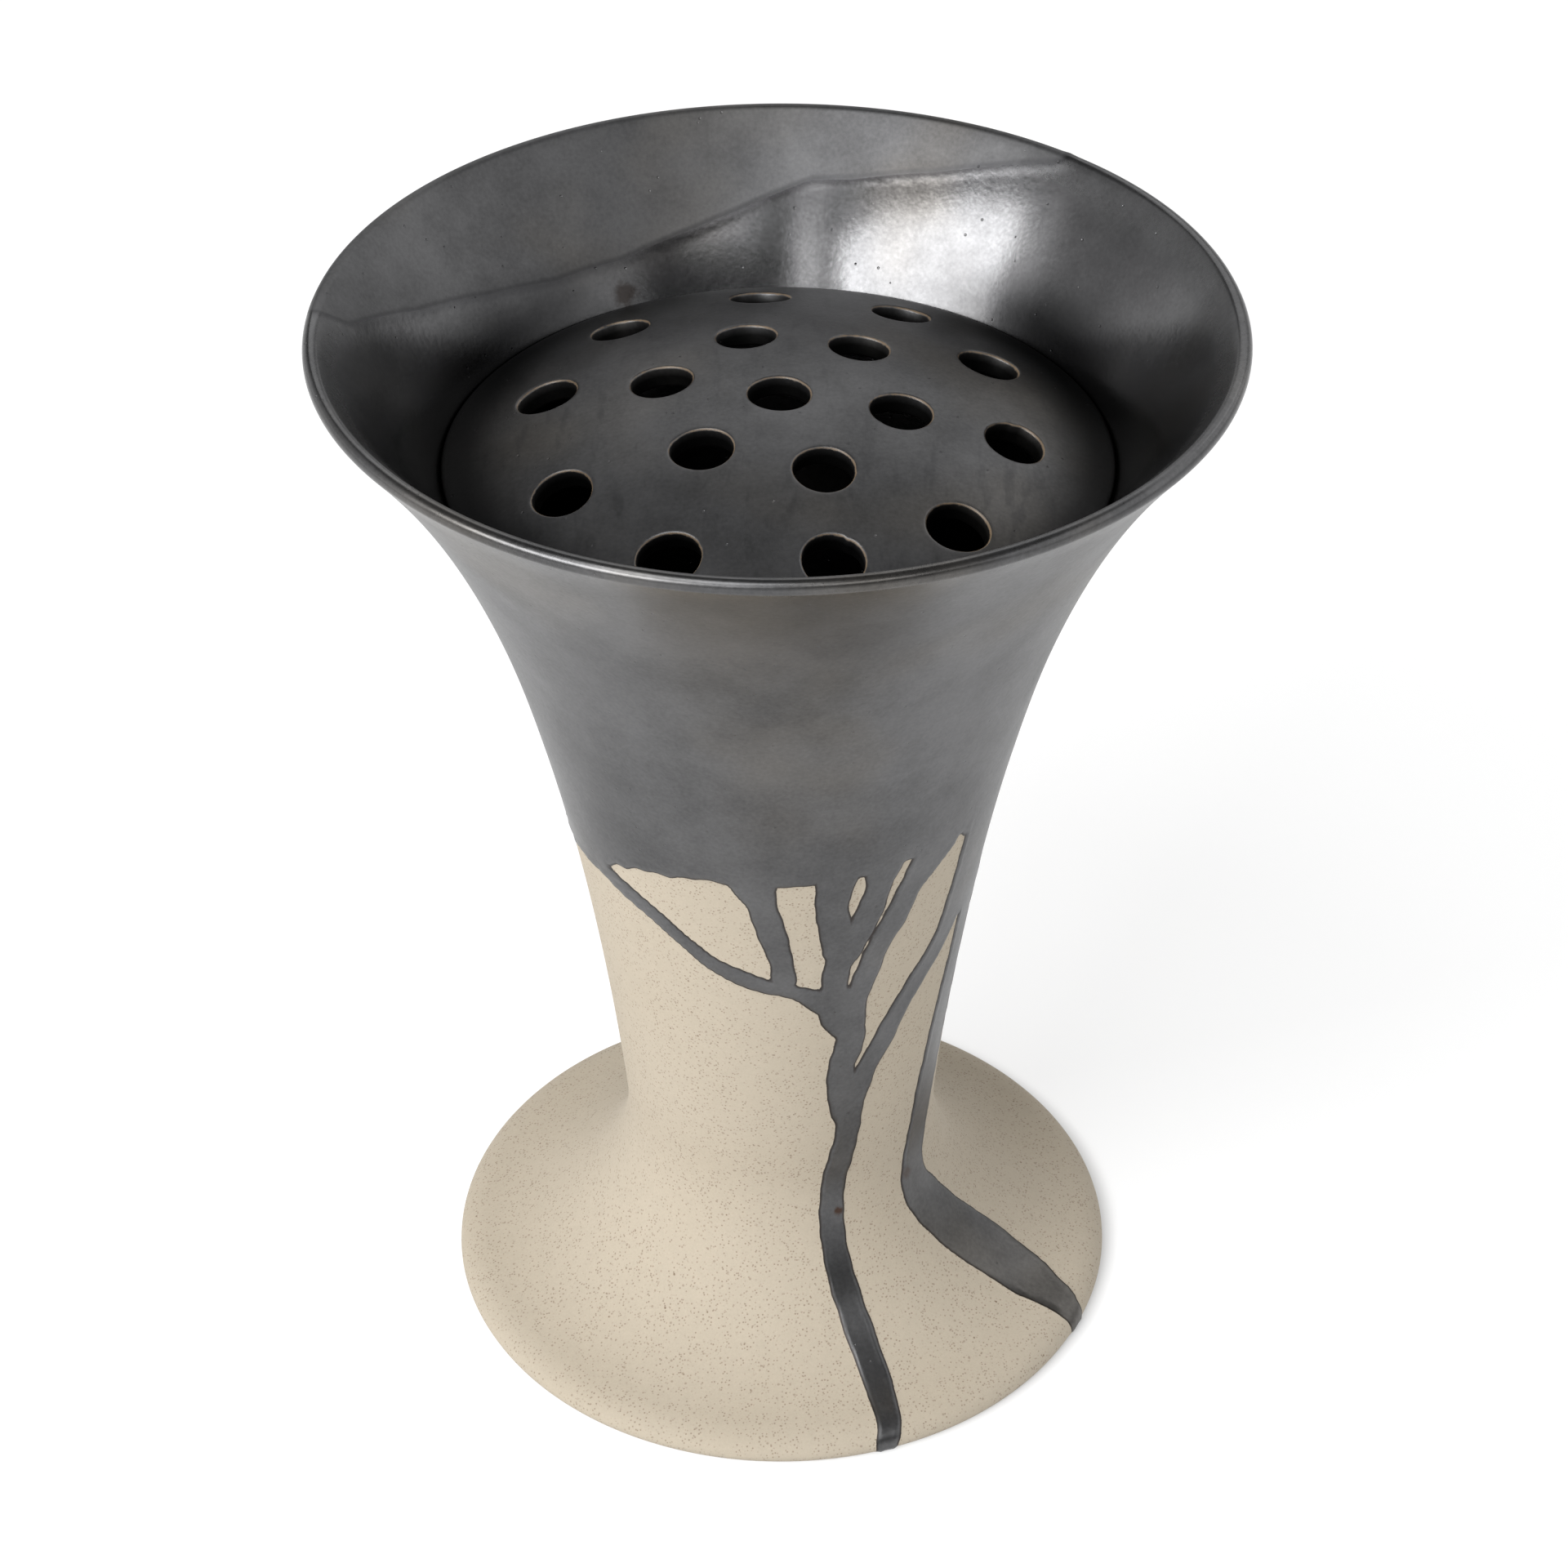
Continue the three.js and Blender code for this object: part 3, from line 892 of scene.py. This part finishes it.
def vase_finish():
    """Buff speckled stoneware, with the dark glaze over it wherever glaze_reach is above 0."""
    material, bench, shader, place = new_finish("speckled stoneware and graphite glaze")
    reach = attribute(bench, "glaze_reach")
    dip = attribute(bench, "second_dip")
    mouth = attribute(bench, "mouth_gloss")
    frayed = reach + (bench.clouds(place, 2.4, 3, 0.6, 9.1) - 0.5) * 0.4
    glazed = bench.step(frayed, -0.07, 0.07)
    rim = 1 - bench.step(frayed, 0.2, 0.85)

    grain = bench.clouds(place, 0.7, 3, 0.7)
    blotch = bench.clouds(place, 3.4, 3, 0.6, 8.3)
    drift = bench.clouds(place, 42, 3, 0.5, 2.0)
    gathered = bench.step(bench.clouds(place, 3.1, 2, 0.5, 4.0), 0.34, 0.56)
    fine = bench.specks(place, 0.95, 0.34, 1.0) * gathered
    coarse = bench.specks(place, 3.3, 0.50, 2.0)
    clay = bench.tint(drift, CLAY, CLAY_WARM)
    tone = grain * 0.22 + blotch * 0.10 + 0.84
    clay = bench.tint(1.0, clay, bench.grey(tone), "MULTIPLY")
    clay = bench.tint(fine * 0.56 + coarse * 0.42, clay, SPECK)

    glaze = glaze_colour(bench, place)
    over = bench.step(dip, -0.6, 0.8)
    line = bench.step(dip, -2.6, -0.2) * (1 - bench.step(dip, 0.2, 1.5))
    glaze = bench.tint(line * 0.55, glaze, GLAZE_DARK)
    rust = spot(bench, place, on_skin(*RUST_SPOT), 1.9) + spot(bench, place, on_skin(*FAINT_RUST), 2.6) * 0.5
    smudge = spot(bench, place, in_mouth(*SMUDGE), 4.5)
    glaze = bench.tint(rust * 0.8, glaze, RUST)
    glaze = bench.tint(smudge * 0.7, glaze, GLAZE_EDGE)
    glaze = bench.tint(rim * 0.7, glaze, GLAZE_EDGE)
    # Painted shade at the sides of the mouth near the seat, and towards the dome's edge.
    glaze = bench.tint(attribute(bench, "painted_seat_shade") * 0.93, glaze, GLAZE_PAINTED_SHADE)
    colour = bench.tint(glazed, clay, glaze)

    clay_rough = grain * 0.10 + 0.80
    sheen = glaze_roughness(bench, place) + rim * 0.08 + over * 0.10 - mouth * (1 - over) * 0.17
    roughness = clay_rough + (sheen - clay_rough) * glazed
    clay_height = grain * 0.05 + bench.clouds(place, 2.2, 2, 0.6, 7.0) * 0.05 - fine * 0.04
    height = clay_height + (glaze_height(bench, place) - clay_height) * glazed
    connect(
        bench, shader, Base_Color=colour, Roughness=roughness, Metallic=glazed * GLAZE_METAL,
        Normal=bumped(bench, height),
    )
    return material


def dome_finish():
    """The same glaze, breaking to brown on the edge of each hole, with shade painted darkest down its wall.
    """
    material, bench, shader, place = new_finish("graphite glaze breaking to brown")
    breaking = attribute(bench, "glaze_break")
    hole_shade_mask = attribute(bench, "inside_hole")
    worn = bench.step(breaking + (bench.clouds(place, 1.4, 3, 0.6, 3.0) - 0.5) * 0.9, 0.44, 0.80)
    brushed = bench.node(
        "ShaderNodeMapping", {},
        {"Vector": place, "Rotation": (0, 0, math.radians(-35)), "Scale": (1, 0.22, 1)},
    )
    streak = bench.step(bench.clouds(brushed, 5, 3, 0.6, 7.7), 0.52, 0.70)
    streak = streak * bench.clouds(place, 40, 2, 0.5, 1.9)
    glaze = bench.tint(streak * 0.6, glaze_colour(bench, place), GLAZE_DARK)
    # Painted shade towards the dome's edge.
    glaze = bench.tint(attribute(bench, "painted_seat_shade") * 0.93, glaze, GLAZE_PAINTED_SHADE)
    # Painted shade down each hole's wall.
    glaze = bench.tint(hole_shade_mask * 0.85, glaze, HOLE_PAINTED_SHADE)
    colour = bench.tint(worn * 0.70, glaze, GLAZE_BREAK)
    roughness = glaze_roughness(bench, place) + 0.05
    connect(
        bench, shader, Base_Color=colour, Roughness=roughness, Metallic=(1 - worn) * GLAZE_METAL,
        Normal=bumped(bench, glaze_height(bench, place)),
    )
    return material


# The studio, in metres.

FLOOR_HALF = 6
# The floor's glow is dimmed round the foot to paint a close shadow: its centre and its edges.
SHADOW_CENTRE = (0.003, 0.001, 0)
SHADOW_EDGE = (0.090, 0.100)  # where the close shadow under the foot starts to fade, and where it ends
HORIZON_GLOW = 0.70
SKY_GLOW = 0.10

# Each light's name, bearing, elevation, distance, width, height and power.
LIGHTS = (
    ("soft box front left", -49.5, 31, 2.2, 1.88, 0.85, 45),
    ("strip beside the soft box", -10, 33, 2.2, 0.30, 0.85, 3.2),
    ("spill of the soft box", -80, 30, 2.2, 0.6, 0.85, 1.7),
    ("left wall bounce", -110, 24, 2.4, 2.8, 1.5, 6.5),
    ("overhead bounce", -35, 62, 2.2, 1.3, 1.0, 17),
    ("front bounce", 20, 46, 2.2, 0.8, 0.6, 3.8),
    ("white wall right", 95, 33, 2.4, 4.0, 1.7, 23),
    ("back wall bounce", 170, 38, 2.5, 2.6, 1.2, 11),
)

CAMERA_ANGLE = math.radians(22.87)
CAMERA_PLACE = (0, -0.855, 0.8115)
CAMERA_LOOK = Vector((0.0011, 0.7988, -0.6017))
CAMERA_ROLL = math.radians(-0.21)


def floor_finish():
    material, bench, shader, place = new_finish("pale studio floor")
    shader.inputs["Base Color"].default_value = (0.40, 0.40, 0.40, 1)
    shader.inputs["Roughness"].default_value = 0.9
    shader.inputs["Specular IOR Level"].default_value = 0.0

    # The floor glows a little, and least under the foot, where the dimmed glow paints a close shadow.
    beside = bench.node("ShaderNodeVectorMath", {"operation": "DISTANCE"}, {0: place, 1: SHADOW_CENTRE}, 1)
    outside_painted_shadow = bench.step(beside, *SHADOW_EDGE)
    connect(bench, shader, Emission_Color=bench.tint(outside_painted_shadow, (0.25, 0.25, 0.25, 1), (1, 1, 1, 1)))
    shader.inputs["Emission Strength"].default_value = 0.66
    return material


def make_floor():
    mesh = bpy.data.meshes.new("studio floor")
    corners = [(-1, -1, 0), (1, -1, 0), (1, 1, 0), (-1, 1, 0)]
    mesh.from_pydata([(x * FLOOR_HALF, y * FLOOR_HALF, z) for x, y, z in corners], [], [(0, 1, 2, 3)])
    mesh.materials.append(floor_finish())
    floor = bpy.data.objects.new("studio_floor", mesh)
    bpy.context.scene.collection.objects.link(floor)


def make_light(name, bearing, elevation, distance, width, height, power):
    """A soft box that faces the vase's mouth."""
    light = bpy.data.lights.new(name, "AREA")
    light.shape = "RECTANGLE"
    light.size, light.size_y = width, height
    light.energy = power
    lamp = bpy.data.objects.new(name, light)
    side, up = math.radians(bearing), math.radians(elevation)
    aim = Vector((0, 0, 0.2))
    way = Vector((math.sin(side) * math.cos(up), -math.cos(side) * math.cos(up), math.sin(up)))
    lamp.location = aim + way * distance
    lamp.rotation_euler = (-way).to_track_quat("-Z", "Y").to_euler()
    bpy.context.scene.collection.objects.link(lamp)


def make_studio():
    make_floor()
    for light in LIGHTS:
        make_light(*light)

    # The room: pale near the horizon and darker above.
    world = bpy.data.worlds.new("studio")
    world.use_nodes = True
    bench = Bench(world.node_tree)
    way = bench.node("ShaderNodeTexCoord", {}, {}, "Generated")
    above = bench.step(bench.node("ShaderNodeSeparateXYZ", {}, {0: way}, 2), 0.12, 0.30)
    backdrop = world.node_tree.nodes["Background"]
    backdrop.inputs["Color"].default_value = (1, 1, 1, 1)
    glow = HORIZON_GLOW - above * (HORIZON_GLOW - SKY_GLOW)
    world.node_tree.links.new(glow.socket, backdrop.inputs["Strength"])
    bpy.context.scene.world = world
    bpy.context.scene.view_settings.view_transform = "Standard"


def make_camera():
    lens = bpy.data.cameras.new("studio camera")
    lens.angle = CAMERA_ANGLE
    camera = bpy.data.objects.new("studio camera", lens)
    camera.location = CAMERA_PLACE
    camera.rotation_mode = "QUATERNION"
    camera.rotation_quaternion = CAMERA_LOOK.to_track_quat("-Z", "Y") @ Quaternion((0, 0, 1), CAMERA_ROLL)
    lens.clip_start, lens.clip_end = 0.01, 50
    bpy.context.scene.collection.objects.link(camera)
    bpy.context.scene.camera = camera


make_vase(vase_finish())
make_dome(dome_finish())
make_studio()
make_camera()
